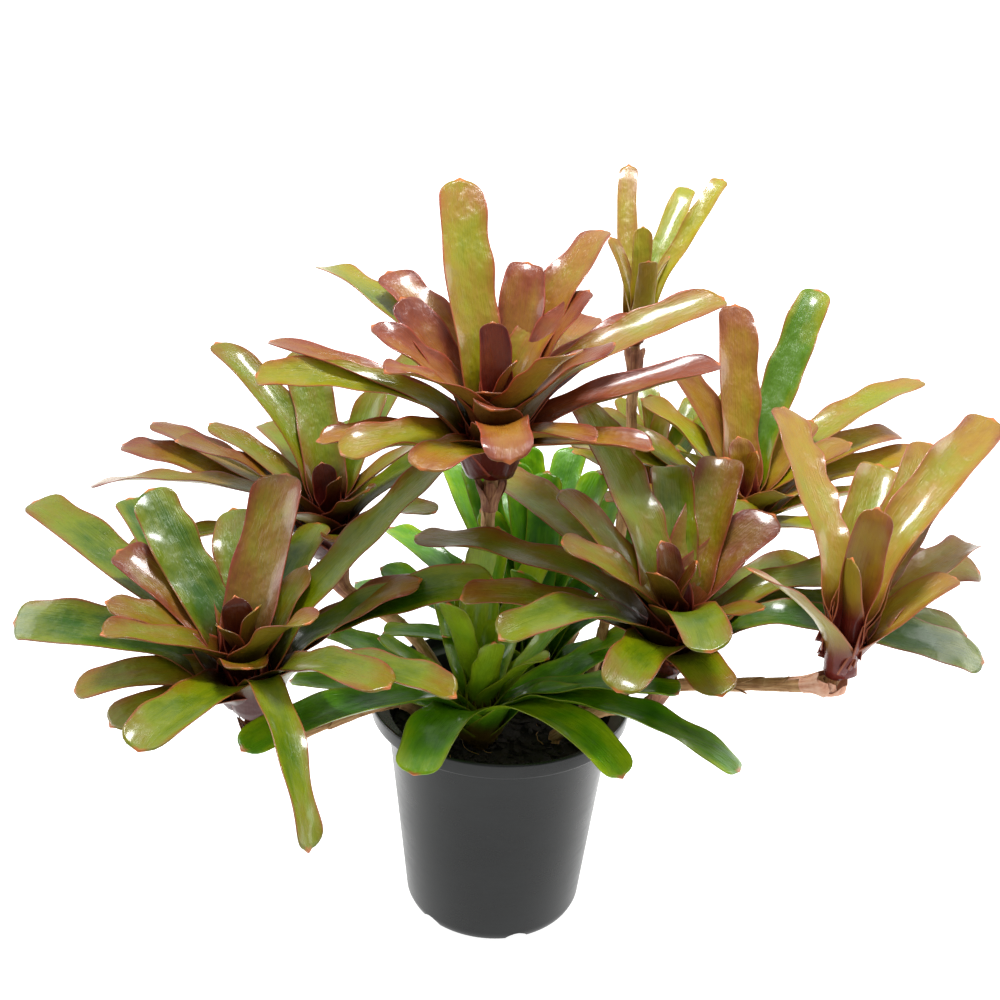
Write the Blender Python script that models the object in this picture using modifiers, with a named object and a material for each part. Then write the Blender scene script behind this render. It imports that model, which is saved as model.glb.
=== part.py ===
"""Potted bromeliad: a clump of strap-leaved rosettes on woody runners in a black nursery pot.

The pot stands on the ground plane with its axis on Z, and the front of the plant faces -Y.
Sizes are metres; the leaf tables are millimetres and degrees.
"""
import math

import bmesh
import bpy
from mathutils import Vector

OBJECT_NAME = "potted_bromeliad"
MM = 0.001

# --- driving dimensions -------------------------------------------------------------------
POT_HEIGHT = 0.128
POT_RIM_R = 0.070
POT_TOP_R = 0.061
POT_FOOT_R = 0.0485
POT_WALL = 0.002
RIM_HEIGHT = 0.009
RIM_EDGE = 0.0016
SOIL_DROP = 0.020
FIT_GAP = 0.0004
DRAIN_COUNT = 6
DRAIN_WIDTH = 0.014
DRAIN_HEIGHT = 0.0045
DRAIN_DEPTH = 0.005
DRAIN_TURN = 287.0
FOOT_ROUND = 0.003
RIM_FLARE = 0.0004
SOIL_EDGE = 0.002
LEAF_THICK = 1.4 * MM
LEAF_SPREAD = 1.12
STEM_R = 3.6 * MM
NODE_GAP = 0.5 * MM
POT_STEPS = 48
LEAF_COLUMNS = 2
LEAF_ROWS = 5
CORE_SIDES = 10
RUNNER_STEPS = 8
RUNNER_STRAIGHT = 0.003
POCKET_VOLUME = 2.0e-8

SOIL_TOP = POT_HEIGHT - SOIL_DROP

# --- whorls up a rosette's axis: height, core radius, start radius of the leaves --------------
WHORLS = {
    "lower": (12.0, 6.0, 4.8),
    "middle": (11.0, 4.2, 3.2),
    "heart": (7.0, 2.4, 1.4),
}

# --- rosettes: foot (right, back, above the soil), lean of the axis, size factor, whorls -----
# Each leaf is (turn, lean, droop, length, width); turn 0 points right, 90 back, 270 front.
ROSETTES = {
    "top": {
        "foot": (-9, 0, 144),
        "tilt": (0, -4),
        "scale": 1.0,
        "heart": [(102, 12, 0, 51, 14), (259, 35, 20, 36, 16), (345, 10, 10, 40, 14)],
        "middle": [
            (143, 50, 0, 84, 20), (129, 61, 0, 110, 21), (105, 43, 0, 140, 23),
            (77, 39, 0, 95, 21), (55, 50, 0, 129, 22), (35, 36, 10, 90, 21),
            (224, 48, 20, 88, 20), (304, 38, 20, 92, 20),
        ],
        "lower": [
            (138, 66, 6, 148, 22), (164, 73, 14, 131, 21), (43, 67, 10, 124, 21),
            (28, 68, 6, 151, 22), (13, 74, 6, 126, 22), (277, 48, 60, 98, 21),
            (213, 77, 14, 88, 25), (177, 76, 14, 128, 20), (318, 60, 20, 72, 20),
            (90, 72, 14, 120, 20),
        ],
    },
    "left": {
        "foot": (-118, -68, 42),
        "tilt": (-6, -4),
        "scale": 1.0,
        "heart": [(105, 6, 0, 36, 14), (335, 19, 0, 39, 14), (236, 21, 0, 34, 14)],
        "middle": [
            (73, 44, 0, 103, 25), (131, 52, 0, 110, 22), (152, 52, 8, 91, 19),
            (217, 50, 10, 83, 20), (50, 40, 20, 62, 19), (315, 41, 20, 84, 20),
        ],
        "lower": [
            (147, 69, 4, 164, 22), (165, 80, 14, 134, 23), (195, 74, 18, 84, 20),
            (253, 68, 18, 98, 25), (290, 78, 50, 140, 16), (321, 65, 18, 108, 21),
            (332, 75, 16, 128, 21), (14, 61, 8, 102, 22), (41, 60, 8, 155, 23),
            (100, 70, 10, 110, 19), (9, 72, 8, 134, 20),
        ],
    },
    "back_left": {
        "foot": (-98, 62, 64),
        "tilt": (-4, 0),
        "scale": 1.0,
        "heart": [(111, 11, 0, 30, 13), (322, 20, 0, 30, 13)],
        "middle": [
            (104, 44, 0, 112, 22), (136, 50, 0, 132, 20), (90, 44, 0, 66, 18),
            (197, 51, 10, 102, 20), (8, 48, 8, 70, 18),
        ],
        "lower": [
            (154, 70, 8, 137, 20), (163, 74, 10, 143, 21), (182, 76, 14, 142, 20),
            (62, 54, 4, 150, 19), (242, 56, 24, 84, 19), (116, 72, 10, 118, 20),
            (205, 84, 10, 116, 19),
        ],
    },
    "right": {
        "foot": (80, -52, 64),
        "tilt": (0, -4),
        "scale": 1.0,
        "heart": [(123, 18, 0, 42, 17), (236, 28, 0, 44, 15), (0, 12, 0, 40, 14)],
        "middle": [
            (113, 60, 0, 138, 22), (67, 53, 0, 101, 24), (37, 52, 10, 82, 22),
            (190, 44, 10, 82, 20), (276, 47, 50, 86, 22),
        ],
        "lower": [
            (127, 79, 8, 152, 23), (162, 78, 14, 143, 21), (41, 84, 8, 106, 20),
            (357, 94, 12, 160, 21), (5, 94, 8, 156, 20), (14, 86, 8, 176, 20),
            (214, 62, 26, 112, 22), (246, 63, 30, 82, 21),
        ],
    },
    "back_right": {
        "foot": (128, 62, 80),
        "tilt": (4, 0),
        "scale": 1.0,
        "heart": [(122, 18, 0, 38, 15), (30, 4, 0, 35, 14)],
        "middle": [
            (95, 38, 0, 126, 21), (63, 45, 0, 152, 20), (129, 47, 0, 94, 19),
            (38, 46, 0, 72, 19), (210, 46, 10, 70, 18),
        ],
        "lower": [
            (36, 62, 8, 154, 21), (18, 74, 8, 130, 20), (349, 62, 8, 84, 20),
            (27, 66, 8, 122, 20), (250, 66, 24, 70, 19), (74, 74, 8, 116, 20),
        ],
    },
    "far_right": {
        "foot": (150, -92, 90),
        "tilt": (6, 0),
        "scale": 0.8,
        "heart": [(75, 10, 0, 58, 16), (201, 10, 0, 40, 14)],
        "middle": [
            (102, 67, 0, 140, 19), (62, 60, 0, 124, 19), (49, 58, 8, 152, 21),
            (74, 56, 0, 102, 19),
        ],
        "lower": [
            (58, 68, 0, 114, 19), (42, 71, 8, 105, 18), (20, 50, 10, 68, 17),
            (206, 47, 16, 85, 17),
        ],
    },
    "top_shoot": {
        "foot": (68, 100, 187),
        "tilt": (0, 0),
        "scale": 0.6,
        "heart": [(88, 16, 0, 55, 10), (350, 20, 0, 45, 9)],
        "lower": [
            (93, 45, 0, 108, 11), (66, 50, 0, 104, 12), (52, 48, 0, 111, 11),
            (142, 20, 0, 58, 10), (272, 30, 0, 58, 10),
        ],
    },
    "front": {
        "foot": (-10, -24, 0.5),
        "tilt": (0, 0),
        "scale": 0.9,
        "heart": [(127, 17, 0, 76, 14), (51, 8, 0, 50, 13), (104, 9, 0, 92, 17),
                  (78, 12, 0, 98, 15)],
        "middle": [
            (62, 49, 0, 96, 15), (245, 26, 0, 92, 14), (282, 27, 0, 68, 13),
            (324, 36, 10, 66, 15),
        ],
        "lower": [
            (225, 69, 30, 160, 22), (251, 63, 46, 96, 24), (308, 66, 40, 119, 22),
            (327, 76, 28, 156, 22), (331, 61, 20, 124, 22), (151, 79, 10, 120, 20),
        ],
    },
    "centre": {
        "foot": (16, 34, 0.5),
        "tilt": (0, 0),
        "scale": 0.9,
        "heart": [(110, 18, 0, 117, 18), (75, 16, 0, 112, 18)],
        "lower": [
            (106, 47, 0, 113, 20), (79, 48, 0, 145, 20), (120, 48, 0, 136, 21),
            (63, 60, 0, 132, 19), (139, 67, 8, 128, 20), (158, 80, 8, 120, 19),
        ],
    },
    "small_back": {
        "foot": (86, 104, 82),
        "tilt": (0, 0),
        "scale": 0.6,
        "heart": [(110, 14, 0, 62, 13), (55, 6, 0, 60, 12)],
        "lower": [
            (31, 45, 0, 90, 14), (115, 44, 0, 70, 13), (93, 50, 0, 85, 14),
            (266, 62, 30, 66, 13), (180, 56, 10, 60, 13),
        ],
    },
}

# --- runners: the point on the soil and one point on the way to each rosette foot ------------
RUNNERS = {
    "top": [(-8, 8, 0), (-12, 7, 60), (-10, 3, 110)],
    "left": [(-38, -10, 0), (-52, -25, 26), (-76, -44, 29), (-104, -64, 28)],
    "back_left": [(-26, 22, 0), (-49, 38, 29), (-68, 49, 38), (-90, 59, 46)],
    "right": [(30, -16, 0), (50, -34, 30), (74, -48, 44)],
    "back_right": [(34, 24, 0), (56, 36, 32), (82, 48, 42), (118, 60, 60)],
    "far_right": [(48, -6, 0), (60, -16, 32), (105, -50, 58), (136, -78, 76)],
    "top_shoot": [(46, 12, 0), (58, 30, 60), (66, 66, 120), (68, 92, 160)],
    "small_back": [(30, 40, 0), (40, 48, 30), (52, 60, 40), (80, 96, 66)],
}


def clear_scene():
    """Start from an empty scene."""
    for obj in list(bpy.data.objects):
        bpy.data.objects.remove(obj, do_unlink=True)


def make_collection(name):
    """Make a collection in the scene."""
    collection = bpy.data.collections.new(name)
    bpy.context.scene.collection.children.link(collection)
    return collection


def make_material(name, colour, roughness):
    """Make one plain Principled material."""
    material = bpy.data.materials.new(name)
    material.use_nodes = True
    shader = material.node_tree.nodes["Principled BSDF"]
    shader.inputs["Base Color"].default_value = (*colour, 1.0)
    shader.inputs["Roughness"].default_value = roughness
    material.diffuse_color = (*colour, 1.0)
    return material


def add_part(name, mesh, collection, colour, roughness):
    """Put a mesh in the scene as one named piece with its own material."""
    obj = bpy.data.objects.new(name, mesh)
    collection.objects.link(obj)
    obj.data.materials.append(make_material(name + "_finish", colour, roughness))
    return obj


def hide_guide(obj):
    """Show a cutter or a guide as wires, and keep it out of the model."""
    obj.hide_render = True
    obj.display_type = "WIRE"


def add_turned(name, outline, collection, colour, roughness):
    """Turn a (radius, height) outline round Z; it starts and ends on the axis."""
    mesh = bpy.data.meshes.new(name)
    points = [(radius, 0.0, height) for radius, height in outline]
    mesh.from_pydata(points, [(k, k + 1) for k in range(len(points) - 1)], [])
    obj = add_part(name, mesh, collection, colour, roughness)
    screw = obj.modifiers.new("turn", "SCREW")
    screw.axis = "Z"
    screw.steps = POT_STEPS
    screw.render_steps = POT_STEPS
    screw.use_merge_vertices = True
    screw.merge_threshold = 0.00005
    return obj


def wall_radius(height):
    """Outer radius of the pot's tapered wall at a height."""
    share = height / (POT_HEIGHT - RIM_HEIGHT)
    return POT_FOOT_R + (POT_TOP_R - POT_FOOT_R) * share


def add_pot(collection, guides):
    """The nursery pot: tapered wall, stepped band at the rim, drain notches at the foot."""
    shelf = POT_HEIGHT - RIM_HEIGHT
    outline = [
        (0.0, POT_WALL),
        (wall_radius(POT_WALL) - POT_WALL - FOOT_ROUND, POT_WALL),
        (wall_radius(POT_WALL + FOOT_ROUND) - POT_WALL, POT_WALL + FOOT_ROUND),
        (POT_TOP_R - POT_WALL, shelf),
        (POT_TOP_R, shelf + POT_WALL),
        (POT_RIM_R - POT_WALL - RIM_FLARE, shelf + POT_WALL),
        (POT_RIM_R - POT_WALL, POT_HEIGHT),
        (POT_RIM_R - RIM_EDGE, POT_HEIGHT),
        (POT_RIM_R, POT_HEIGHT - RIM_EDGE),
        (POT_RIM_R - RIM_FLARE, shelf),
        (POT_TOP_R, shelf),
        (wall_radius(FOOT_ROUND), FOOT_ROUND),
        (POT_FOOT_R - FOOT_ROUND * 0.3, FOOT_ROUND * 0.3),
        (POT_FOOT_R - FOOT_ROUND, 0.0),
        (0.0, 0.0),
    ]
    pot = add_turned("pot", outline, collection, (0.03, 0.033, 0.035), 0.35)
    for index in range(DRAIN_COUNT):
        turn = math.radians(DRAIN_TURN + 360.0 * index / DRAIN_COUNT)
        work = bmesh.new()
        bmesh.ops.create_cube(work, size=1.0)
        size = (DRAIN_DEPTH * 2.0, DRAIN_WIDTH, DRAIN_HEIGHT * 2.0)
        bmesh.ops.scale(work, vec=size, verts=work.verts)
        mesh = bpy.data.meshes.new("drain_cutter")
        work.to_mesh(mesh)
        work.free()
        cutter = bpy.data.objects.new("drain_cutter", mesh)
        cutter.location = (POT_FOOT_R * math.cos(turn), POT_FOOT_R * math.sin(turn), 0.0)
        cutter.rotation_euler = (0.0, 0.0, turn)
        guides.objects.link(cutter)
        hide_guide(cutter)
        cut = pot.modifiers.new("drain", "BOOLEAN")
        cut.object = cutter
    return pot


def add_soil(collection):
    """The root ball: fills the pot up to the soil line with a small gap all round."""
    inner = POT_WALL + FIT_GAP
    outline = [
        (0.0, SOIL_TOP),
        (wall_radius(SOIL_TOP) - inner - SOIL_EDGE, SOIL_TOP),
        (wall_radius(SOIL_TOP - SOIL_EDGE) - inner, SOIL_TOP - SOIL_EDGE),
        (wall_radius(inner + FOOT_ROUND) - inner, inner + FOOT_ROUND),
        (wall_radius(inner) - inner - FOOT_ROUND, inner),
        (0.0, inner),
    ]
    return add_turned("soil", outline, collection, (0.05, 0.035, 0.025), 0.95)


def axis_of(tilt):
    """Unit axis of a rosette from its lean to the right and to the back, in degrees."""
    lean = Vector((math.sin(math.radians(tilt[0])), math.sin(math.radians(tilt[1])), 1.0))
    return lean.normalized()


def foot_of(rosette):
    """Foot point of a rosette in metres."""
    right, back, rise = rosette["foot"]
    return Vector((right * MM, back * MM, SOIL_TOP + rise * MM))


def ease(value):
    """Smooth step from 0 to 1."""
    value = min(max(value, 0.0), 1.0)
    return value * value * (3.0 - 2.0 * value)


def blade_width(share):
    """Width of a leaf along its length as a share of its full width."""
    neck = 0.44 + 0.56 * ease(share / 0.42)
    tip = math.sqrt(max(0.0, 1.0 - max(0.0, (share - 0.80) / 0.20) ** 2.2))
    return neck * max(tip, 0.36)


def leaf_spine(leaf, start_radius, start_height, share):
    """Midrib point (radius, height) and heading at a share of the leaf's length."""
    turn, lean, droop, length, width = leaf
    steps = 48
    radius = start_radius
    height = start_height
    heading = 0.0
    for step in range(steps):
        at = (step + 0.5) / steps
        heading = math.radians(lean * (0.35 + 0.65 * ease(at / 0.45)) + droop * at * at)
        if at > share:
            break
        radius += math.sin(heading) * length / steps
        height += math.cos(heading) * length / steps
    return radius, height, heading


def leaf_point(leaf, start_radius, start_height, across, share):
    """Point of a leaf surface; across runs from -1 to 1, share from base to tip."""
    radius, height, heading = leaf_spine(leaf, start_radius, start_height, share)
    turn = math.radians(leaf[0])
    half = 0.5 * LEAF_SPREAD * leaf[4] * blade_width(share)
    curl_radius = half * (0.95 + 1.5 * ease(share / 0.5))
    angle = across * half / curl_radius
    side = curl_radius * math.sin(angle)
    lift = curl_radius * (1.0 - math.cos(angle))
    radius -= lift * math.cos(heading)
    height += lift * math.sin(heading)
    east = radius * math.cos(turn) - side * math.sin(turn)
    north = radius * math.sin(turn) + side * math.cos(turn)
    return Vector((east, north, height))


def add_leaf(name, leaf, start_radius, start_height, place, guides):
    """One strap leaf as a mapped grid with Solidify, in place on its rosette."""
    work = bmesh.new()
    bmesh.ops.create_grid(work, x_segments=LEAF_COLUMNS, y_segments=LEAF_ROWS, size=1.0)
    for vert in work.verts:
        along = 0.5 * (vert.co.y + 1.0)
        share = along * (1.6 - 0.6 * along)
        vert.co = leaf_point(leaf, start_radius, start_height, vert.co.x, share) * MM
    mesh = bpy.data.meshes.new(name)
    work.to_mesh(mesh)
    work.free()
    obj = bpy.data.objects.new(name, mesh)
    obj.matrix_world = place
    guides.objects.link(obj)
    hide_guide(obj)
    skin = obj.modifiers.new("thickness", "SOLIDIFY")
    skin.thickness = LEAF_THICK
    skin.offset = 0.0
    return obj


def whorl_start(rosette, whorl):
    """Height of a whorl on its rosette: the whorls that the rosette has are stacked in order."""
    order = [name for name in WHORLS if name in rosette]
    below = order[: order.index(whorl)]
    return sum(WHORLS[name][0] for name in below) * rosette["scale"]


def shell_volume(faces):
    """Signed volume of a closed shell of triangles."""
    return sum(f.verts[0].co.dot(f.verts[1].co.cross(f.verts[2].co)) for f in faces) / 6.0


def fill_pockets(obj):
    """Apply the modifiers of a whorl and fill the tiny pockets closed in between leaf bases."""
    bpy.context.view_layer.update()
    graph = bpy.context.evaluated_depsgraph_get()
    mesh = bpy.data.meshes.new_from_object(obj.evaluated_get(graph))
    obj.modifiers.clear()
    work = bmesh.new()
    work.from_mesh(mesh)
    bmesh.ops.triangulate(work, faces=work.faces)
    left = set(work.faces)
    while left:
        shell = {left.pop()}
        edge_of_shell = list(shell)
        while edge_of_shell:
            face = edge_of_shell.pop()
            edges = [edge for edge in face.edges if len(edge.link_faces) == 2]
            near = {n for edge in edges for n in edge.link_faces if n in left}
            left -= near
            shell |= near
            edge_of_shell.extend(near)
        if abs(shell_volume(shell)) < POCKET_VOLUME:
            bmesh.ops.delete(work, geom=list(shell), context="FACES")
    work.to_mesh(mesh)
    work.free()
    obj.data = mesh


def add_whorl(name, rosette, whorl, collection, guides, colour):
    """A section of the rosette's core with its ring of leaves grown into it."""
    height, core_radius, start_radius = (value * rosette["scale"] for value in WHORLS[whorl])
    start = whorl_start(rosette, whorl)
    axis = axis_of(rosette["tilt"])
    turn = Vector((0.0, 0.0, 1.0)).rotation_difference(axis).to_matrix().to_4x4()
    place = turn.copy()
    place.translation = foot_of(rosette)
    core_r = core_radius * MM
    core_height = height * MM - NODE_GAP
    work = bmesh.new()
    bmesh.ops.create_cone(
        work, cap_ends=True, segments=CORE_SIDES, radius1=core_r, radius2=core_r * 0.94, depth=core_height
    )
    bmesh.ops.translate(work, vec=(0.0, 0.0, start * MM + core_height * 0.5), verts=work.verts)
    mesh = bpy.data.meshes.new(name)
    work.to_mesh(mesh)
    work.free()
    obj = add_part(name, mesh, collection, colour, 0.35)
    obj.matrix_world = place
    ring = bpy.data.collections.new(name + "_leaves")
    guides.children.link(ring)
    leaves = rosette[whorl]
    for index, leaf in enumerate(leaves):
        rise = 0.2 + 0.5 * (len(leaves) - 1 - index) / max(1, len(leaves) - 1)
        start_height = start + rise * height * 0.9
        add_leaf(f"{name}_leaf_{index + 1}", leaf, start_radius, start_height, place, ring)
    union = obj.modifiers.new("grow", "BOOLEAN")
    union.operation = "UNION"
    union.operand_type = "COLLECTION"
    union.collection = ring
    fill_pockets(obj)
    return obj


def through(points, share):
    """Point on a smooth curve through the given points (Catmull-Rom)."""
    spans = len(points) - 1
    place = min(share * spans, spans - 1e-6)
    index = int(place)
    t = place - index
    p1 = points[index]
    p2 = points[index + 1]
    p0 = points[index - 1] if index > 0 else p1 * 2.0 - p2
    p3 = points[index + 2] if index + 2 <= spans else p2 * 2.0 - p1
    bend = (p0 * 2.0 - p1 * 5.0 + p2 * 4.0 - p3) * (t * t)
    return (p1 * 2.0 + (p2 - p0) * t + bend + (p1 * 3.0 - p0 - p2 * 3.0 + p3) * (t * t * t)) * 0.5


def add_runner(name, rosette, points, collection, colour):
    """A woody runner from the soil to the foot of a rosette."""
    axis = axis_of(rosette["tilt"])
    top = foot_of(rosette) - axis * NODE_GAP
    route = [Vector((x * MM, y * MM, SOIL_TOP + NODE_GAP + z * MM)) for x, y, z in points]
    route.insert(1, route[0] + Vector((0.0, 0.0, RUNNER_STRAIGHT)))
    route.append(top - axis * RUNNER_STRAIGHT)
    smooth = [through(route[1:], k / RUNNER_STEPS) for k in range(RUNNER_STEPS + 1)]
    path = [route[0], *smooth, top]
    curve = bpy.data.curves.new(name, "CURVE")
    curve.dimensions = "3D"
    curve.bevel_depth = STEM_R * (0.6 + 0.4 * rosette["scale"])
    curve.bevel_resolution = 2
    curve.use_fill_caps = True
    spline = curve.splines.new("POLY")
    spline.points.add(len(path) - 1)
    for point, place in zip(spline.points, path):
        point.co = (*place, 1.0)
    obj = bpy.data.objects.new(name, curve)
    collection.objects.link(obj)
    obj.data.materials.append(make_material(name + "_finish", colour, 0.8))
    return obj


def build():
    """Model the pot, the soil and the whole plant."""
    clear_scene()
    parts = make_collection(OBJECT_NAME)
    guides = make_collection(OBJECT_NAME + "_guides")
    add_pot(parts, guides)
    add_soil(parts)
    for name, rosette in ROSETTES.items():
        for whorl in WHORLS:
            if whorl in rosette:
                add_whorl(f"{name}_{whorl}_leaves", rosette, whorl, parts, guides, (0.25, 0.3, 0.08))
        if name in RUNNERS:
            add_runner(name + "_runner", rosette, RUNNERS[name], parts, (0.35, 0.22, 0.12))


build()
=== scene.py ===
# %% [markdown]
# # A potted clump of bromeliads
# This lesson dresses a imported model: a black nursery pot from which a clump of strap-leaved
# rosettes spreads on woody runners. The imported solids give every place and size, and the
# cells below model the fine surface of each ring of leaves, each runner, the soil and the pot.

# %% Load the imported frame
import math
import random

import bpy
import numpy as np
from mathutils import Matrix, Vector


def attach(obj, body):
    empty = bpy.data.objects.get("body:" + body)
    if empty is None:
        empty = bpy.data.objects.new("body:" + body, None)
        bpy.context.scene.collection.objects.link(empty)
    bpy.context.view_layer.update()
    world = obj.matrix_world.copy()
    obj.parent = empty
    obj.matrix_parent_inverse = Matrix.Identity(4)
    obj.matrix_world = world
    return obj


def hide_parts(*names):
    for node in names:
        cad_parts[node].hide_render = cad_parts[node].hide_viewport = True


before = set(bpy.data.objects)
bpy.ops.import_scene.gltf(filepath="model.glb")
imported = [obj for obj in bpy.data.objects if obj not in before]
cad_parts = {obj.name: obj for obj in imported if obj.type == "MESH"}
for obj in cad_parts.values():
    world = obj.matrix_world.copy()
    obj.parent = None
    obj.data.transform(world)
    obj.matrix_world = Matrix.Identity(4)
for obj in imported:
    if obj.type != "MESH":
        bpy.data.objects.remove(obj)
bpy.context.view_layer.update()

# %% [markdown]
# ## Camera
# The plant is seen from the front and from above, at arm's length, with a slight roll, so the
# pot leans a little in the frame. The camera is built from its three axes: right, up and back.

# %% Camera
CAMERA_PLACE = Vector((-0.0042, -0.6094, 0.4952))
CAMERA_PITCH = math.radians(22.76)
CAMERA_ROLL = math.radians(2.27)
CAMERA_LENS = 47.0

level_right = Vector((1.0, 0.0, 0.0))
level_up = Vector((0.0, math.sin(CAMERA_PITCH), math.cos(CAMERA_PITCH)))
view_back = Vector((0.0, -math.cos(CAMERA_PITCH), math.sin(CAMERA_PITCH)))
view_right = level_right * math.cos(CAMERA_ROLL) + level_up * math.sin(CAMERA_ROLL)
view_up = level_up * math.cos(CAMERA_ROLL) - level_right * math.sin(CAMERA_ROLL)

camera_data = bpy.data.cameras.new("camera")
camera_data.lens = CAMERA_LENS
camera_data.sensor_width = 36.0
camera = bpy.data.objects.new("camera", camera_data)
bpy.context.scene.collection.objects.link(camera)
camera.matrix_world = Matrix.Translation(CAMERA_PLACE) @ Matrix(
    (view_right, view_up, view_back)
).transposed().to_4x4()
bpy.context.scene.camera = camera
print("camera at", tuple(round(v, 3) for v in camera.location))

# %% [markdown]
# ## Small tools
# Operators act on whatever is selected, so each new primitive is added with nothing else
# selected. Modifiers are applied one by one, so every piece ends as a plain mesh whose object
# sits at the origin. Each piece rides on the one body, "root".

# %% Helpers for pieces
def deselect():
    """Leave nothing selected, so that an operator acts only on what comes next."""
    bpy.ops.object.select_all(action="DESELECT")


def only(obj):
    """Select one object and make it active."""
    deselect()
    obj.select_set(True)
    bpy.context.view_layer.objects.active = obj


def apply_all(obj):
    """Apply every modifier of an object, in order."""
    only(obj)
    for modifier in list(obj.modifiers):
        bpy.ops.object.modifier_apply(modifier=modifier.name)


def join(objects, name):
    """Join objects into one and name it."""
    deselect()
    for obj in objects:
        obj.select_set(True)
    bpy.context.view_layer.objects.active = objects[0]
    if len(objects) > 1:
        bpy.ops.object.join()
    objects[0].name = name
    objects[0].data.name = name
    return objects[0]


def copy_of(obj):
    """A copy of an object with a mesh of its own."""
    copy = obj.copy()
    copy.data = obj.data.copy()
    bpy.context.scene.collection.objects.link(copy)
    return copy


def seal():
    """Close the mesh that is being edited and turn its faces outwards."""
    bpy.ops.mesh.select_all(action="SELECT")
    bpy.ops.mesh.fill_holes(sides=0)
    bpy.ops.mesh.normals_make_consistent(inside=False)
    bpy.ops.object.mode_set(mode="OBJECT")


def smooth(obj, degrees=None):
    """Shade an object smooth, all over or up to edges of a given angle."""
    only(obj)
    if degrees is None:
        bpy.ops.object.shade_smooth()
    else:
        bpy.ops.object.shade_smooth_by_angle(angle=math.radians(degrees))


def finish_piece(obj, material, slot, *nodes):
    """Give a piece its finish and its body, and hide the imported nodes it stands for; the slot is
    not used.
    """
    obj.data.materials.clear()
    obj.data.materials.append(material)
    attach(obj, "root")
    if nodes:
        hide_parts(*nodes)


def ease(value):
    """Smooth step from 0 to 1, for numbers and arrays."""
    value = np.clip(value, 0.0, 1.0)
    return value * value * (3.0 - 2.0 * value)


def triangles(obj):
    """Count an object's triangles."""
    return sum(len(face.vertices) - 2 for face in obj.data.polygons)


# %% [markdown]
# ## Shader arithmetic
# A shader is easier to read as a formula than as a web of nodes. The class below wraps one
# output of a node tree: adding or multiplying two of them adds a Math node, and make() adds
# any other kind of node.

# %% Shader arithmetic
class Wire:
    """One output of a shader tree, with arithmetic on it."""

    def __init__(self, tree, socket=None):
        self.tree = tree
        self.socket = socket

    def make(self, kind, settings=None, inputs=None, output=0):
        """Add a node, set it up, feed its inputs, and return one of its outputs."""
        node = self.tree.nodes.new(kind)
        for key, value in (settings or {}).items():
            if key == "stops":
                ramp = node.color_ramp
                while len(ramp.elements) < len(value):
                    ramp.elements.new(0.5)
                for element, (place, colour) in zip(ramp.elements, value):
                    element.position = place
                    element.color = (*colour, 1.0)
            else:
                setattr(node, key, value)
        for key, value in (inputs or {}).items():
            self.feed(node.inputs[key], value)
        return Wire(self.tree, node.outputs[output])

    def feed(self, target, value):
        """Link a wire to an input, or set the input to a constant."""
        if isinstance(value, Wire):
            self.tree.links.new(value.socket, target)
        elif isinstance(value, tuple) and len(value) == 3 and target.type == "RGBA":
            target.default_value = (*value, 1.0)
        else:
            target.default_value = value

    def math(self, operation, first, second=0.0):
        """Add one Math node."""
        return self.make("ShaderNodeMath", {"operation": operation}, {0: first, 1: second})

    def __add__(self, other):
        return self.math("ADD", self, other)

    __radd__ = __add__

    def __sub__(self, other):
        return self.math("SUBTRACT", self, other)

    def __rsub__(self, other):
        return self.math("SUBTRACT", other, self)

    def __mul__(self, other):
        return self.math("MULTIPLY", self, other)

    __rmul__ = __mul__

    def __abs__(self):
        return self.math("ABSOLUTE", self)

    def step(self, low, high):
        """Rise smoothly from 0 at low to 1 at high; high may be below low."""
        settings = {"interpolation_type": "SMOOTHSTEP"}
        return self.make("ShaderNodeMapRange", settings, {0: self, 1: low, 2: high})

    def mix(self, first, second):
        """Mix two colours, with this wire as the share of the second."""
        return self.make("ShaderNodeMix", {"data_type": "RGBA"}, {0: self, 6: first, 7: second}, 2)

    def noise(self, place, scale, detail=3.0, rough=0.55):
        """A soft noise between 0 and 1."""
        inputs = {"Vector": place, "Scale": scale, "Detail": detail, "Roughness": rough}
        return self.make("ShaderNodeTexNoise", None, inputs)


def new_material(name):
    """Start a material and return it with its Principled shader and a first wire."""
    material = bpy.data.materials.new(name)
    material.use_nodes = True
    shader = material.node_tree.nodes["Principled BSDF"]
    return material, shader, Wire(material.node_tree)


print("shader arithmetic ready")

# %% [markdown]
# ## The plant in numbers
# A bromeliad rosette is a short stem with leaves all round it. Each leaf below is one tuple:
# the turn round the stem, how far it leans out, how much more it droops towards its tip, its
# length and width in millimetres, and its tone, from 0 for fresh green to 1 for red bronze.
# A seventh number, where there is one, is a twist in degrees.
# The turns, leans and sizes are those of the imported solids, so each visible leaf lies over
# its solid. The tone is a choice of colour only.

# %% Leaves of every rosette
MM = 0.001
POT_HEIGHT = 0.128
SOIL_TOP = POT_HEIGHT - 0.020

# height of the whorl's piece of stem, radius of that stem, radius where its leaves start
WHORLS = {"lower": (12.0, 6.0, 4.8), "middle": (11.0, 4.2, 3.2), "heart": (7.0, 2.4, 1.4)}

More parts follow.
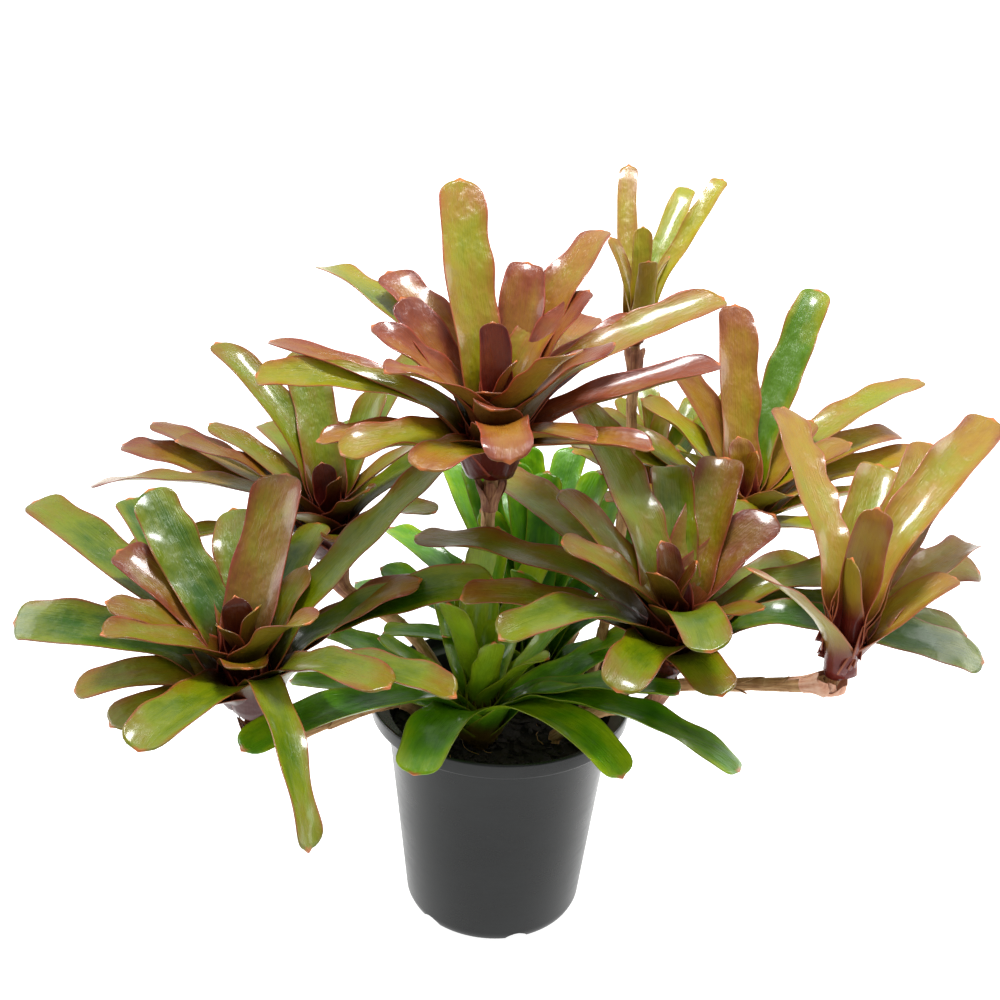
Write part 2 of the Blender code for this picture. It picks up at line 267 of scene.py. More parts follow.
ROSETTES = {
    "top": {
        "foot": (-9, 0, 144), "tilt": (0, -4), "scale": 1.0,
        "heart": [
            (102, 12, 0, 51, 14, 1.1), (259, 35, 20, 36, 16, 0.95), (345, 10, 10, 40, 14, 1.0),
        ],
        "middle": [
            (143, 50, 0, 84, 20, 0.95), (129, 61, 0, 110, 21, 0.75), (105, 43, 0, 140, 23, 0.4),
            (77, 39, 0, 95, 21, 0.9), (55, 50, 0, 129, 22, 0.65), (35, 36, 10, 90, 21, 1.0),
            (224, 48, 20, 88, 20, 0.85), (304, 38, 20, 92, 20, 0.65),
        ],
        "lower": [
            (138, 66, 6, 148, 22, 0.2), (164, 73, 14, 131, 21, 0.8), (43, 67, 10, 124, 21, 0.85),
            (28, 68, 6, 151, 22, 0.45), (13, 74, 6, 126, 22, 0.95), (277, 48, 60, 98, 21, 0.8),
            (213, 77, 14, 88, 25, 0.4), (177, 76, 14, 128, 20, 0.3, -20),
            (318, 60, 20, 72, 20, 0.8), (90, 72, 14, 120, 20, 0.6),
        ],
    },
    "left": {
        "foot": (-118, -68, 42), "tilt": (-6, -4), "scale": 1.0,
        "heart": [
            (105, 6, 0, 36, 14, 1.0), (335, 19, 0, 39, 14, 0.5), (236, 21, 0, 34, 14, 0.7),
        ],
        "middle": [
            (73, 44, 0, 103, 25, 0.7), (131, 52, 0, 110, 22, 0.05), (152, 52, 8, 91, 19, 0.75),
            (217, 50, 10, 83, 20, 0.5), (50, 40, 20, 62, 19, 0.5), (315, 41, 20, 84, 20, 0.5),
        ],
        "lower": [
            (147, 69, 4, 164, 22, 0.3), (165, 80, 14, 134, 23, 0.1, -34),
            (195, 74, 18, 84, 20, 0.45), (253, 68, 18, 98, 25, 0.3),
            (290, 78, 50, 140, 16, 0.2, -50), (321, 65, 18, 108, 21, 0.4),
            (332, 75, 16, 128, 21, 0.2), (14, 61, 8, 102, 22, 0.7), (41, 60, 8, 155, 23, 0.35),
            (100, 70, 10, 110, 19, 0.3), (9, 72, 8, 134, 20, 0.1, 25),
        ],
    },
    "back_left": {
        "foot": (-98, 62, 64), "tilt": (-4, 0), "scale": 1.0,
        "heart": [(111, 11, 0, 30, 13, 1), (322, 20, 0, 30, 13, 0.8)],
        "middle": [
            (104, 44, 0, 112, 22, 0.4), (136, 50, 0, 132, 20, 0.35), (90, 44, 0, 66, 18, 0.6),
            (197, 51, 10, 102, 20, 0.7), (8, 48, 8, 70, 18, 0.5),
        ],
        "lower": [
            (154, 70, 8, 137, 20, 0.7), (163, 74, 10, 143, 21, 0.75),
            (182, 76, 14, 142, 20, 0.6), (62, 54, 4, 150, 19, 0.35), (242, 56, 24, 84, 19, 0.55),
            (116, 72, 10, 118, 20, 0.4), (205, 84, 10, 116, 19, 0.4),
        ],
    },
    "right": {
        "foot": (80, -52, 64), "tilt": (0, -4), "scale": 1.0,
        "heart": [
            (123, 18, 0, 42, 17, 0.87), (236, 28, 0, 44, 15, 0.67), (0, 12, 0, 40, 14, 0.67),
        ],
        "middle": [
            (113, 60, 0, 138, 22, 0.42), (67, 53, 0, 101, 24, 0.62), (37, 52, 10, 82, 22, 0.87),
            (190, 44, 10, 82, 20, 0.57), (276, 47, 50, 86, 22, 0.17),
        ],
        "lower": [
            (127, 79, 8, 152, 23, 0.47), (162, 78, 14, 143, 21, 0.52),
            (41, 84, 8, 106, 20, 0.37), (357, 94, 12, 160, 21, 0.07, 20),
            (5, 94, 8, 156, 20, 0.17, 15), (14, 86, 8, 176, 20, 0.42, 20),
            (214, 62, 26, 112, 22, 0.22), (246, 63, 30, 82, 21, 0.27),
        ],
    },
    "back_right": {
        "foot": (128, 62, 80), "tilt": (4, 0), "scale": 1.0,
        "heart": [(122, 18, 0, 38, 15, 0.7), (30, 4, 0, 35, 14, 0.8)],
        "middle": [
            (95, 38, 0, 126, 21, 0.75), (63, 45, 0, 152, 20, 0.0), (129, 47, 0, 94, 19, 0.8),
            (38, 46, 0, 72, 19, 0.7), (210, 46, 10, 70, 18, 0.2),
        ],
        "lower": [
            (36, 62, 8, 154, 21, 0.4), (18, 74, 8, 130, 20, 0.5), (349, 62, 8, 84, 20, 0.4),
            (27, 66, 8, 122, 20, 0.75), (250, 66, 24, 70, 19, 0.5), (74, 74, 8, 116, 20, 0.2),
        ],
    },
    "far_right": {
        "foot": (150, -92, 90), "tilt": (6, 0), "scale": 0.8,
        "heart": [(75, 10, 0, 58, 16, 0.7), (201, 10, 0, 40, 14, 0.65)],
        "middle": [
            (102, 67, 0, 140, 19, 0.6), (62, 60, 0, 124, 19, 0.45), (49, 58, 8, 152, 21, 0.65),
            (74, 56, 0, 102, 19, 0.35),
        ],
        "lower": [
            (58, 68, 0, 114, 19, 0.7), (42, 71, 8, 105, 18, 0.65), (20, 50, 10, 68, 17, 0.65),
            (206, 47, 16, 85, 17, 0.65),
        ],
    },
    "top_shoot": {
        "foot": (68, 100, 187), "tilt": (0, 0), "scale": 0.6,
        "heart": [(88, 16, 0, 55, 10, 0.3), (350, 20, 0, 45, 9, 0.5)],
        "lower": [
            (93, 45, 0, 108, 11, 0.5), (66, 50, 0, 104, 12, 0.1), (52, 48, 0, 111, 11, 0.3),
            (142, 20, 0, 58, 10, 0.5), (272, 30, 0, 58, 10, 0.6),
        ],
    },
    "front": {
        "foot": (-10, -24, 0.5), "tilt": (0, 0), "scale": 0.9,
        "heart": [
            (127, 17, 0, 76, 14, 0.6), (51, 8, 0, 50, 13, 0.5), (104, 9, 0, 92, 17, 0.6),
            (78, 12, 0, 98, 15, 0.55),
        ],
        "middle": [
            (62, 49, 0, 96, 15, 0.5), (245, 26, 0, 92, 14, 0.6), (282, 27, 0, 68, 13, 0.55),
            (324, 36, 10, 66, 15, 0.7),
        ],
        "lower": [
            (225, 69, 30, 160, 22, 0.15), (251, 63, 46, 96, 24, 0.2),
            (308, 66, 40, 119, 22, 0.35), (327, 76, 28, 156, 22, 0.1),
            (331, 61, 20, 124, 22, 0.15), (151, 79, 10, 120, 20, 0.3),
        ],
    },
    "centre": {
        "foot": (16, 34, 0.5), "tilt": (0, 0), "scale": 0.9,
        "heart": [(110, 18, 0, 117, 18, 0.1), (75, 16, 0, 112, 18, 0.0)],
        "lower": [
            (106, 47, 0, 113, 20, 0.1), (79, 48, 0, 145, 20, 0.0), (120, 48, 0, 136, 21, 0.1),
            (63, 60, 0, 132, 19, 0.1), (139, 67, 8, 128, 20, 0.2), (158, 80, 8, 120, 19, 0.1),
        ],
    },
    "small_back": {
        "foot": (86, 104, 82), "tilt": (0, 0), "scale": 0.6,
        "heart": [(110, 14, 0, 62, 13, 0.3), (55, 6, 0, 60, 12, 0.4)],
        "lower": [
            (31, 45, 0, 90, 14, 0.2), (115, 44, 0, 70, 13, 0.3), (93, 50, 0, 85, 14, 0.2),
            (266, 62, 30, 66, 13, 0.5), (180, 56, 10, 60, 13, 0.4),
        ],
    },
}

counts = [len(rosette.get(whorl, [])) for rosette in ROSETTES.values() for whorl in WHORLS]
print("leaves:", sum(counts))

# %% [markdown]
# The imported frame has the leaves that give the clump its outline. A real clump also has many
# shorter leaves in between, which hide the runners and the gaps. A second table holds them,
# and each of its lists is joined to a whorl above, so the outline and the box stay as they are.

# %% Leaves that fill the gaps
FILL_LEAVES = {
    ("top", "middle"): [
        (170, 50, 8, 84, 20, 0.9), (5, 48, 8, 80, 20, 0.9), (268, 42, 25, 62, 20, 0.95),
    ],
    ("top", "lower"): [
        (245, 64, 30, 84, 21, 0.5), (110, 68, 10, 116, 20, 0.6), (60, 68, 8, 116, 20, 0.6),
        (340, 74, 16, 86, 20, 0.7), (195, 80, 14, 90, 20, 0.6),
    ],
    ("left", "middle"): [
        (100, 50, 5, 92, 20, 0.3), (185, 48, 8, 80, 20, 0.55), (285, 44, 20, 58, 19, 0.6),
    ],
    ("left", "lower"): [
        (128, 66, 6, 142, 20, 0.0), (75, 68, 10, 112, 20, 0.2), (222, 66, 24, 76, 21, 0.4),
    ],
    ("back_left", "middle"): [
        (60, 40, 0, 88, 19, 0.3), (165, 50, 5, 92, 19, 0.5), (310, 45, 10, 58, 18, 0.6),
    ],
    ("back_left", "lower"): [
        (20, 60, 8, 104, 19, 0.3), (330, 62, 14, 84, 19, 0.4), (285, 60, 20, 76, 19, 0.5),
        (88, 70, 8, 110, 19, 0.2),
    ],
    ("right", "middle"): [
        (148, 48, 5, 92, 20, 0.5), (90, 50, 5, 96, 20, 0.3), (320, 46, 16, 62, 19, 0.5),
    ],
    ("right", "lower"): [
        (95, 70, 10, 108, 20, 0.3), (65, 72, 8, 116, 20, 0.25), (186, 70, 14, 112, 20, 0.5),
        (284, 62, 28, 70, 20, 0.3),
    ],
    ("back_right", "middle"): [
        (160, 50, 5, 88, 19, 0.4), (5, 48, 5, 76, 19, 0.6), (290, 50, 10, 58, 18, 0.5),
    ],
    ("back_right", "lower"): [
        (150, 66, 8, 112, 20, 0.4), (176, 70, 10, 110, 20, 0.5), (206, 72, 14, 96, 19, 0.5),
        (310, 62, 14, 76, 19, 0.5), (110, 68, 8, 104, 19, 0.2),
    ],
    ("small_back", "lower"): [
        (145, 50, 5, 74, 13, 0.2), (62, 50, 5, 80, 13, 0.2), (320, 50, 15, 58, 13, 0.3),
        (222, 52, 15, 58, 13, 0.3),
    ],
    ("front", "middle"): [
        (120, 40, 0, 80, 15, 0.3), (20, 42, 5, 76, 14, 0.5), (192, 46, 8, 76, 14, 0.4),
    ],
    ("front", "lower"): [
        (182, 76, 14, 106, 18, 0.3), (30, 72, 12, 96, 18, 0.2), (95, 66, 8, 110, 19, 0.2),
    ],
    ("centre", "heart"): [
        (150, 22, 0, 96, 17, 0.1), (20, 24, 0, 92, 17, 0.15), (250, 20, 0, 78, 16, 0.3),
    ],
    ("centre", "lower"): [
        (35, 50, 0, 118, 19, 0.1), (172, 60, 0, 106, 19, 0.15), (14, 62, 4, 114, 19, 0.2),
        (200, 66, 10, 96, 18, 0.2), (94, 30, 0, 136, 19, 0.05), (128, 30, 0, 130, 18, 0.05),
        (58, 32, 0, 128, 18, 0.1), (225, 52, 10, 84, 17, 0.3), (340, 54, 10, 84, 17, 0.3),
    ],
}
for (name, whorl), more in FILL_LEAVES.items():
    ROSETTES[name][whorl] += more
print("fill leaves:", sum(len(more) for more in FILL_LEAVES.values()))

# %% [markdown]
# The rosettes sit on woody runners that leave the soil and arch over the rim. Each runner is
# a smooth curve through a few points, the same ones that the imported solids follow.

# %% Runner routes
RUNNERS = {
    "top": [(-8, 8, 0), (-12, 7, 60), (-10, 3, 110)],
    "left": [(-38, -10, 0), (-52, -25, 26), (-76, -44, 29), (-104, -64, 28)],
    "back_left": [(-26, 22, 0), (-49, 38, 29), (-68, 49, 38), (-90, 59, 46)],
    "right": [(30, -16, 0), (50, -34, 30), (74, -48, 44)],
    "back_right": [(34, 24, 0), (56, 36, 32), (82, 48, 42), (118, 60, 60)],
    "far_right": [(48, -6, 0), (60, -16, 32), (105, -50, 58), (136, -78, 76)],
    "top_shoot": [(46, 12, 0), (58, 30, 60), (66, 66, 120), (68, 92, 160)],
    "small_back": [(30, 40, 0), (40, 48, 30), (52, 60, 40), (80, 96, 66)],
}
NODE_GAP = 0.5 * MM
RUNNER_STRAIGHT = 3.0 * MM
RUNNER_RADIUS = 3.6 * MM


def axis_of(tilt):
    """Unit axis of a rosette from its lean to the right and to the back."""
    right, back = (math.sin(math.radians(angle)) for angle in tilt)
    return Vector((right, back, 1.0)).normalized()


def foot_of(rosette):
    """Foot point of a rosette."""
    right, back, rise = rosette["foot"]
    return Vector((right * MM, back * MM, SOIL_TOP + rise * MM))


def through(points, share):
    """Point on a smooth curve through the given points."""
    spans = len(points) - 1
    place = min(share * spans, spans - 1e-6)
    index = int(place)
    t = place - index
    p1, p2 = points[index], points[index + 1]
    p0 = points[index - 1] if index > 0 else p1 * 2.0 - p2
    p3 = points[index + 2] if index + 2 <= spans else p2 * 2.0 - p1
    bend = (p0 * 2.0 - p1 * 5.0 + p2 * 4.0 - p3) * (t * t)
    return (p1 * 2.0 + (p2 - p0) * t + bend + (p1 * 3.0 - p0 - p2 * 3.0 + p3) * (t * t * t)) * 0.5


def runner_route(name, steps):
    """Points along a runner from the soil to the foot of its rosette."""
    rosette = ROSETTES[name]
    axis = axis_of(rosette["tilt"])
    top = foot_of(rosette) - axis * NODE_GAP
    route = [Vector((x * MM, y * MM, SOIL_TOP + NODE_GAP + z * MM)) for x, y, z in RUNNERS[name]]
    route.insert(1, route[0] + Vector((0.0, 0.0, RUNNER_STRAIGHT)))
    route.append(top - axis * RUNNER_STRAIGHT)
    return [route[0], *(through(route[1:], k / steps) for k in range(steps + 1)), top]


print("runners:", len(RUNNERS))

# %% [markdown]
# ## One blade for every leaf
# Every leaf is a strap: a broad clasping base, a narrower neck, a blade that is widest past
# its middle and a rounded tip with a small point. It could be drawn leaf by leaf, but all of
# them share one layout, so one flat grid is made, with its columns packed towards the margins
# and its rows towards the tip, and each leaf is a copy bent to its own place. A vertex group
# marks the midrib, so that Solidify can leave the margins thin.

# %% The flat blade
BLADE_COLUMNS = 12
BLADE_ROWS = 44

deselect()
bpy.ops.mesh.primitive_grid_add(x_subdivisions=BLADE_COLUMNS, y_subdivisions=BLADE_ROWS, size=2.0)
blade = bpy.context.object
blade.name = "flat_blade"
flat = np.array([vert.co[:] for vert in blade.data.vertices])
across = -np.sin(flat[:, 0] * math.pi / 2.0)
along = 0.5 * (flat[:, 1] + 1.0)
along = along * (1.35 - 0.35 * along)

midrib = blade.vertex_groups.new(name="midrib")
for index in range(len(flat)):
    near_tip = float(ease((along[index] - 0.9) / 0.1))
    midrib.add([index], (1.0 - abs(across[index]) ** 3) * (1.0 - 0.5 * near_tip), "REPLACE")
print("blade:", len(flat), "vertices,", triangles(blade), "triangles")

# %% [markdown]
# ## Bending a blade
# The midrib starts near the stem, leans out and droops. The width, the channel across the
# blade, a sideways bend, a twist and a gentle wave of the margins are then laid on it. At the
# base the blade curls round the stem, so that the bases together form the cup of the rosette.

# %% Width and midrib of a leaf
SPINE_STEPS = 96
SHEATH_LENGTH = 36.0
LEAF_SPREAD = 1.16
NECK_SHARE, CLASP_SHARE, TIP_TAPER = 0.62, 0.85, 0.08


def half_width(reach, width, sheath):
    """Half of a leaf's width at each share of its length."""
    neck = NECK_SHARE + (1.0 - NECK_SHARE) * ease((reach - 0.10) / 0.46)
    clasp = CLASP_SHARE * ease(1.0 - reach / sheath)
    taper = 1.0 - TIP_TAPER * ease((reach - 0.72) / 0.28)
    return 0.5 * LEAF_SPREAD * width * (neck + clasp) * taper


def midrib_of(lean, droop, hook, length, start):
    """Radius, height and heading along the midrib, for a start (radius, height)."""
    at = (np.arange(SPINE_STEPS) + 0.5) / SPINE_STEPS
    heading = lean * (0.35 + 0.65 * ease(at / 0.45)) + droop * at * at
    heading = np.radians(heading + hook * ease((at - 0.88) / 0.12))
    step = length / SPINE_STEPS
    radius = start[0] + np.concatenate(([0.0], np.cumsum(np.sin(heading)))) * step
    height = start[1] + np.concatenate(([0.0], np.cumsum(np.cos(heading)))) * step
    ends = np.concatenate((heading[:1], 0.5 * (heading[1:] + heading[:-1]), heading[-1:]))
    return radius, height, ends


# %% A bent leaf
def bend_leaf(leaf, start, shingle, scale, luck):
    """Places of a leaf's vertices in millimetres, and its distances across and along."""
    turn, lean, droop, length, width, _, *set_twist = leaf
    hook = luck.uniform(-6.0, 24.0)
    radius, height, heading = midrib_of(lean, droop, hook, length, start)
    knots = np.linspace(0.0, 1.0, SPINE_STEPS + 1)

    round_tip = 0.5 * LEAF_SPREAD * width * luck.uniform(0.62, 0.95)
    blunt = luck.uniform(1.9, 2.5)
    tip_zone = 2.6 * round_tip / length
    arc = 1.0 - np.maximum(0.0, 1.0 - np.abs(across) ** blunt) ** (1.0 / blunt)
    place = along * length - round_tip * arc * ease((along - 1.0 + tip_zone) / tip_zone)
    point = luck.uniform(0.5, 1.8) * np.maximum(0.0, 1.0 - np.abs(across) / 0.2)
    place = place + point * ease((along - 0.97) / 0.03)
    reach = place / length
    inside = np.clip(reach, 0.0, 1.0)
    r = np.interp(inside, knots, radius)
    h = np.interp(inside, knots, height)
    head = np.interp(inside, knots, heading)
    r = r + shingle * (1.0 - ease(inside / 0.4)) + (place - inside * length) * np.sin(head)
    h = h + (place - inside * length) * np.cos(head)

    sheath = min(SHEATH_LENGTH * scale / length, 0.42) * 1.5
    half = half_width(inside, width, sheath)
    open_curl = half * (0.85 + luck.uniform(0.35, 1.3) * ease(inside / 0.5))
    wrap_curl = np.maximum(r, 0.55 * half)
    free = ease((inside - 0.25 * sheath) / (0.9 * sheath))
    curl = wrap_curl + (open_curl - wrap_curl) * free
    angle = across * half / curl
    side = curl * np.sin(angle)
    flat_end = luck.uniform(-0.2, 1.3) * ease((inside - 0.7) / 0.3)
    lift = curl * (1.0 - np.cos(angle)) * (1.0 - flat_end)

    wave_length = luck.uniform(22.0, 40.0)
    left_wave = np.sin(2.0 * math.pi * place / wave_length + luck.uniform(0.0, 6.3))
    right_wave = np.sin(2.0 * math.pi * place / (wave_length * 1.2) + luck.uniform(0.0, 6.3))
    wave = np.where(across < 0.0, left_wave, right_wave) * np.abs(across) ** 2
    lift = lift + wave * luck.uniform(0.3, 1.5) * free * width / 20.0

    twist = luck.uniform(-12.0, 12.0)
    twist = np.radians(set_twist[0] if set_twist else twist) * ease((inside - 0.1) / 0.8)
    bend = luck.uniform(-5.0, 5.0) * (length / 150.0) ** 2 * inside**2
    cos, sin = np.cos(twist), np.sin(twist)
    side, lift = side * cos - lift * sin, side * sin + lift * cos
    bow = np.sin(math.pi * inside) * length / 150.0
    side = side * (1.0 + 0.045 * wave * np.abs(across)) + bend + luck.uniform(-6.0, 6.0) * bow
    lift = lift + luck.uniform(-2.0, 7.0) * bow
    r = r - lift * np.cos(head)
    h = h + lift * np.sin(head)
    spin = math.radians(turn)
    east = r * math.cos(spin) - side * math.sin(spin)
    north = r * math.sin(spin) + side * math.cos(spin)
    return np.stack((east, north, h), axis=1), across * half, place


# %% [markdown]
# ## A whorl of leaves
# A whorl is one ring of leaves on its own piece of stem. The leaves of one ring overlap like
# shingles, so the more a leaf leans out, the further from the axis it starts. Three numbers
# per point travel with each leaf for the finish: where the point is on the leaf, how far it
# is from the midrib and the base, and which side it is on.

# %% Building a whorl
LEAF_THICKNESS = 1.2 * MM


def add_attribute(mesh, name, values):
    """Store one vector per point on a mesh."""
    layer = mesh.attributes.get(name) or mesh.attributes.new(name, "FLOAT_VECTOR", "POINT")
    layer.data.foreach_set("vector", np.asarray(values, dtype=np.float32).ravel())


def add_blade(leaf, start, shingle, scale, luck, place):
    """One bent copy of the flat blade."""
    obj = copy_of(blade)
    points, out, up = bend_leaf(leaf, start, shingle, scale, luck)
    spot = np.array(place.to_3x3()) @ (points.T * MM) + np.array(place.translation)[:, None]
    obj.data.vertices.foreach_set("co", spot.T.ravel())
    seed = np.full(len(points), luck.uniform(0.0, 40.0))
    tone = np.full(len(points), leaf[5] + luck.uniform(-0.06, 0.06))
    add_attribute(obj.data, "leaf", np.stack((across, along, tone), axis=1))
    add_attribute(obj.data, "blade", np.stack((out, up, seed), axis=1))
    return obj


def mark_sides(obj, count):
    """Mark the points that Solidify added as the underside."""
    side = np.zeros((len(obj.data.vertices), 3))
    side[count:, 0] = 1.0
    add_attribute(obj.data, "side", side)


def add_stem(radius, low, high, place):
    """The piece of stem inside a whorl, ringed by leaf scars."""
    depth = (high - low) * MM
    deselect()
    bpy.ops.mesh.primitive_cylinder_add(vertices=20, radius=radius * MM, depth=depth)
    stem = bpy.context.object
    bpy.ops.object.mode_set(mode="EDIT")
    bpy.ops.mesh.select_all(action="SELECT")
    bpy.ops.mesh.bisect(plane_co=(0.0, 0.0, 0.0), plane_no=(0.0, 0.0, 1.0))
    bpy.ops.object.mode_set(mode="OBJECT")
    for vert in stem.data.vertices:
        if abs(vert.co.z) < 1e-6:
            vert.co.x *= 0.9
            vert.co.y *= 0.9
    stem.data.transform(place @ Matrix.Translation((0.0, 0.0, (low + high) * 0.5 * MM)))
    count = len(stem.data.vertices)
    add_attribute(stem.data, "leaf", np.tile((0.0, 0.0, 0.8), (count, 1)))
    add_attribute(stem.data, "blade", np.zeros((count, 3)))
    add_attribute(stem.data, "side", np.zeros((count, 3)))
    return stem


def whorl_start(rosette, whorl):
    """Height of a whorl on its rosette's stem."""
    order = [name for name in WHORLS if name in rosette]
    return sum(WHORLS[name][0] for name in order[: order.index(whorl)]) * rosette["scale"]


def add_whorl(name, whorl, number):
    """All the leaves of one whorl and its piece of stem, as one piece."""
    rosette = ROSETTES[name]
    scale = rosette["scale"]
    height, core_radius, start_radius = (value * scale for value in WHORLS[whorl])
    start = whorl_start(rosette, whorl)
    upright = Vector((0.0, 0.0, 1.0))
    place = upright.rotation_difference(axis_of(rosette["tilt"])).to_matrix().to_4x4()
    place.translation = foot_of(rosette)
    leaves = rosette[whorl]
    by_lean = sorted(range(len(leaves)), key=lambda index: leaves[index][1])
    blades = []
    for index, leaf in enumerate(leaves):
        rise = 0.2 + 0.5 * (len(leaves) - 1 - index) / max(1, len(leaves) - 1)
        beginning = (start_radius, start + rise * height * 0.9)
        shingle = 0.55 * scale * by_lean.index(index)
        luck = random.Random(100 * number + index)
        blades.append(add_blade(leaf, beginning, shingle, scale, luck, place))
    piece = join(blades, f"{name}_{whorl}_blades")
    count = len(piece.data.vertices)
    skin = piece.modifiers.new("thickness", "SOLIDIFY")
    skin.thickness = LEAF_THICKNESS * (0.5 + 0.5 * scale)
    skin.offset = 0.0
    skin.vertex_group = "midrib"
    skin.thickness_vertex_group = 0.35
    apply_all(piece)
    mark_sides(piece, count)
    stem = add_stem(core_radius * 0.9, start + 0.3, start + height - 0.8, place)
    piece = join([piece, stem], f"{name}_{whorl}_blades")
    smooth(piece)
    return piece


whorl_pieces = {}
for number, (name, rosette) in enumerate(ROSETTES.items()):
    for level, whorl in enumerate(WHORLS):
        if whorl in rosette:
            whorl_pieces[name, whorl] = add_whorl(name, whorl, 10 * number + level)
bpy.data.objects.remove(blade, do_unlink=True)
print("whorls:", len(whorl_pieces), "triangles:", sum(map(triangles, whorl_pieces.values())))

# %% [markdown]
# ## The leaf finish
# A bromeliad leaf is glossy, with fine lengthwise fibres that break up its highlights. Its
# middle is green or golden, and it turns bronze towards the tip and the margins and maroon at
# its base. One tone number slides along a ramp of colours: the leaf's own tone, plus a little
# more near the margins and the tip, plus a soft mottling. Each finish has its own ramp.

# %% A leaf finish
RAMP_END = 1.5


def paint(red, green, blue):
    """A display colour from 0 to 1 as the linear colour that a shader takes."""
    shares = (red, green, blue)
    return tuple(((v + 0.055) / 1.055) ** 2.4 if v > 0.04 else v / 12.92 for v in shares)


def split(wire):
    """The three numbers of a vector."""
    node = wire.tree.nodes.new("ShaderNodeSeparateXYZ")
    wire.tree.links.new(wire.socket, node.inputs[0])
    return [Wire(wire.tree, socket) for socket in node.outputs]


def vector(x, y, z):
    """A vector from three numbers, the first of them a wire."""
    return x.make("ShaderNodeCombineXYZ", None, {0: x, 1: y, 2: z})


def stored(start, name):
    """The three numbers that a point carries under a name."""
    return split(start.make("ShaderNodeAttribute", {"attribute_name": name}, None, 1))


def ramp_of(wire, stops):
    """A colour from a ramp of (place, colour), the colours as paint() takes them."""
    stops = [(place, paint(*colour)) for place, colour in stops]
    return wire.make("ShaderNodeValToRGB", {"stops": stops}, {0: wire})


def surface(shader, colour, roughness, *bumps):
    """Feed a shader its colour, its roughness and its bumps (strength, distance, height)."""
    colour.feed(shader.inputs["Base Color"], colour)
    colour.feed(shader.inputs["Roughness"], roughness)
    below = {}
    for strength, distance, height in bumps:
        inputs = {"Strength": strength, "Distance": distance, "Height": height, **below}
        below = {"Normal": colour.make("ShaderNodeBump", None, inputs)}
    colour.feed(shader.inputs["Normal"], below["Normal"])


def leaf_finish(name, places, ramp, base, base_reach, margin, under, gloss):
    """Glossy leaf skin: tone ramp, maroon base, thin margin line, paler underside."""
    material, shader, start = new_material(name)
    across, along, tone = stored(start, "leaf")
    out, up, seed = stored(start, "blade")
    below, _, _ = stored(start, "side")

    fibre = start.noise(vector(out * 1.5, up * 0.035, seed), 1.0, 4.0, 0.6)
    mottle = start.noise(vector(out * 0.09, up * 0.045, seed + 7.0), 1.0, 3.0, 0.6)
    cloud = start.noise(vector(out * 0.03, up * 0.02, seed + 19.0), 1.0, 2.0, 0.5)
    edge = abs(across).step(0.45, 1.0)
    tip = along.step(0.72, 1.0)
    local = tone + (mottle - 0.5) * 0.75 + (cloud - 0.5) * 0.5
    local = local + edge * 0.22 + tip * 0.2 + (fibre - 0.5) * 0.22
    stops = [(place / RAMP_END, colour) for place, colour in zip(places, ramp)]
    skin = ramp_of(local * (1.0 / RAMP_END), stops)

    pale = below * (0.35 + 0.35 * fibre)
    skin = pale.mix(skin, paint(*under))
    foot = (up + (mottle - 0.5) * 14.0).step(base_reach, base_reach * 0.3)
    skin = foot.mix(skin, paint(*base))
    line = abs(across).step(0.90, 0.975) * (0.45 + 0.5 * mottle)
    point = along.step(0.985, 0.998) * abs(across).step(0.35, 0.05)
    skin = point.mix(skin, paint(0.80, 0.45, 0.22))
    skin = line.mix(skin, paint(*margin))
    speck = start.noise(vector(out * 0.9, up * 0.7, seed + 31.0), 1.0, 1.0, 0.4).step(0.80, 0.84)
    skin = (speck * 0.5).mix(skin, paint(0.22, 0.12, 0.06))
    shader.inputs["Specular IOR Level"].default_value = 0.25
    shader.inputs["Coat Weight"].default_value = 0.4
    shader.inputs["Coat Roughness"].default_value = 0.15
    ripple = start.noise(vector(out * 0.16, up * 0.1, seed + 3.0), 1.0, 2.0, 0.5)
    surface(shader, skin, gloss + (fibre - 0.5) * 0.3 + below * 0.15,
            (0.75, 0.0005, fibre), (0.6, 0.0022, ripple))
    return material


